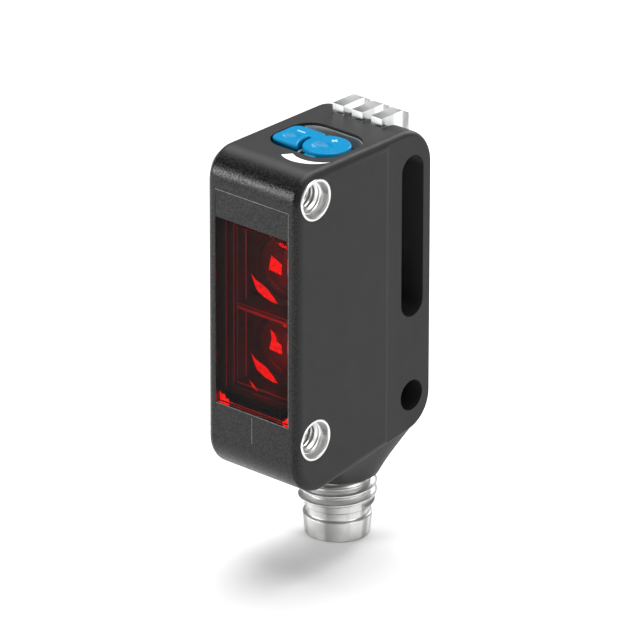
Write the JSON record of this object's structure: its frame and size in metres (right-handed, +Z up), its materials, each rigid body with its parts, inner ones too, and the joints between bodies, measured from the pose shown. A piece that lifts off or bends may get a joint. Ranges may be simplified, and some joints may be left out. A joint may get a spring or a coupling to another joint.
{
  "type": "photoelectric sensor",
  "caption": "Miniature square photoelectric sensor with a red optical window, a rocking sensitivity key, clear indicator bars, threaded mounting sleeves and a round plug connector.",
  "frame": {"origin": "midway between the axes of the two threaded sleeves, half way across the width", "axes": "+X across the width along the sleeves' axes; -Y to the optical front; +Z up, from the plug to the key"},
  "size_m": [0.012, 0.02, 0.0441],
  "materials": {
    "housing_plastic": "matte moulded",
    "plated_metal": "nickel plated, turned",
    "red_window": "clear dark red, polished",
    "seal_rubber": "matte",
    "frame_plastic": "fine grain",
    "carrier_plastic": "matte",
    "lens_glass": "polished",
    "clear_resin": "clear cast",
    "chip_epoxy": "matte epoxy",
    "circuit_board": "solder mask",
    "ceramic": "fired ceramic",
    "switch_plastic": "satin",
    "key_plastic": "glossy moulded",
    "pin_steel": "ground",
    "white_print": "printed ink",
    "light_guide": "frosted clear",
    "insert_plastic": "satin moulded",
    "contact_gold": "gold plated",
    "wire_copper": "tinned copper"
  },
  "bodies": {
    "sensor_body": {"board_header": "frame_plastic", "capacitors": "ceramic", "connector_board": "circuit_board", "connector_insert": "insert_plastic", "connector_seal": "seal_rubber", "connector_shell": "plated_metal", "contact_pin_1": "contact_gold", "contact_pin_2": "contact_gold", "contact_pin_3": "contact_gold", "contact_pin_4": "contact_gold", "controller_chip": "chip_epoxy", "driver_chip": "chip_epoxy", "emitter_led": "clear_resin", "emitter_lens": "lens_glass", "front_window": "red_window", "housing": "housing_plastic", "indicator_leds": "clear_resin", "key_board": "circuit_board", "key_seal": "seal_rubber", "light_guide_left": "light_guide", "light_guide_middle": "light_guide", "light_guide_right": "light_guide", "link_wires": "wire_copper", "main_board": "circuit_board", "minus_switch": "switch_plastic", "optics_carrier": "carrier_plastic", "plus_switch": "switch_plastic", "receiver_lens": "lens_glass", "receiver_sensor": "chip_epoxy", "rocker_pin": "pin_steel", "scale_mark": "white_print", "sleeve_lower": "plated_metal", "sleeve_upper": "plated_metal", "window_frame": "frame_plastic", "window_seal": "seal_rubber"},
    "rocker": {"rocker_key": "key_plastic"}
  },
  "joints": [
    {"name": "rocker_tilt", "type": "hinge", "parent": "sensor_body", "child": "rocker", "pos_m": [0.0002, 0.0058, 0.01475], "axis": [0, 1, 0], "range_deg": [-4, 4], "stiffness_Nm_per_rad": 0.07}
  ]
}
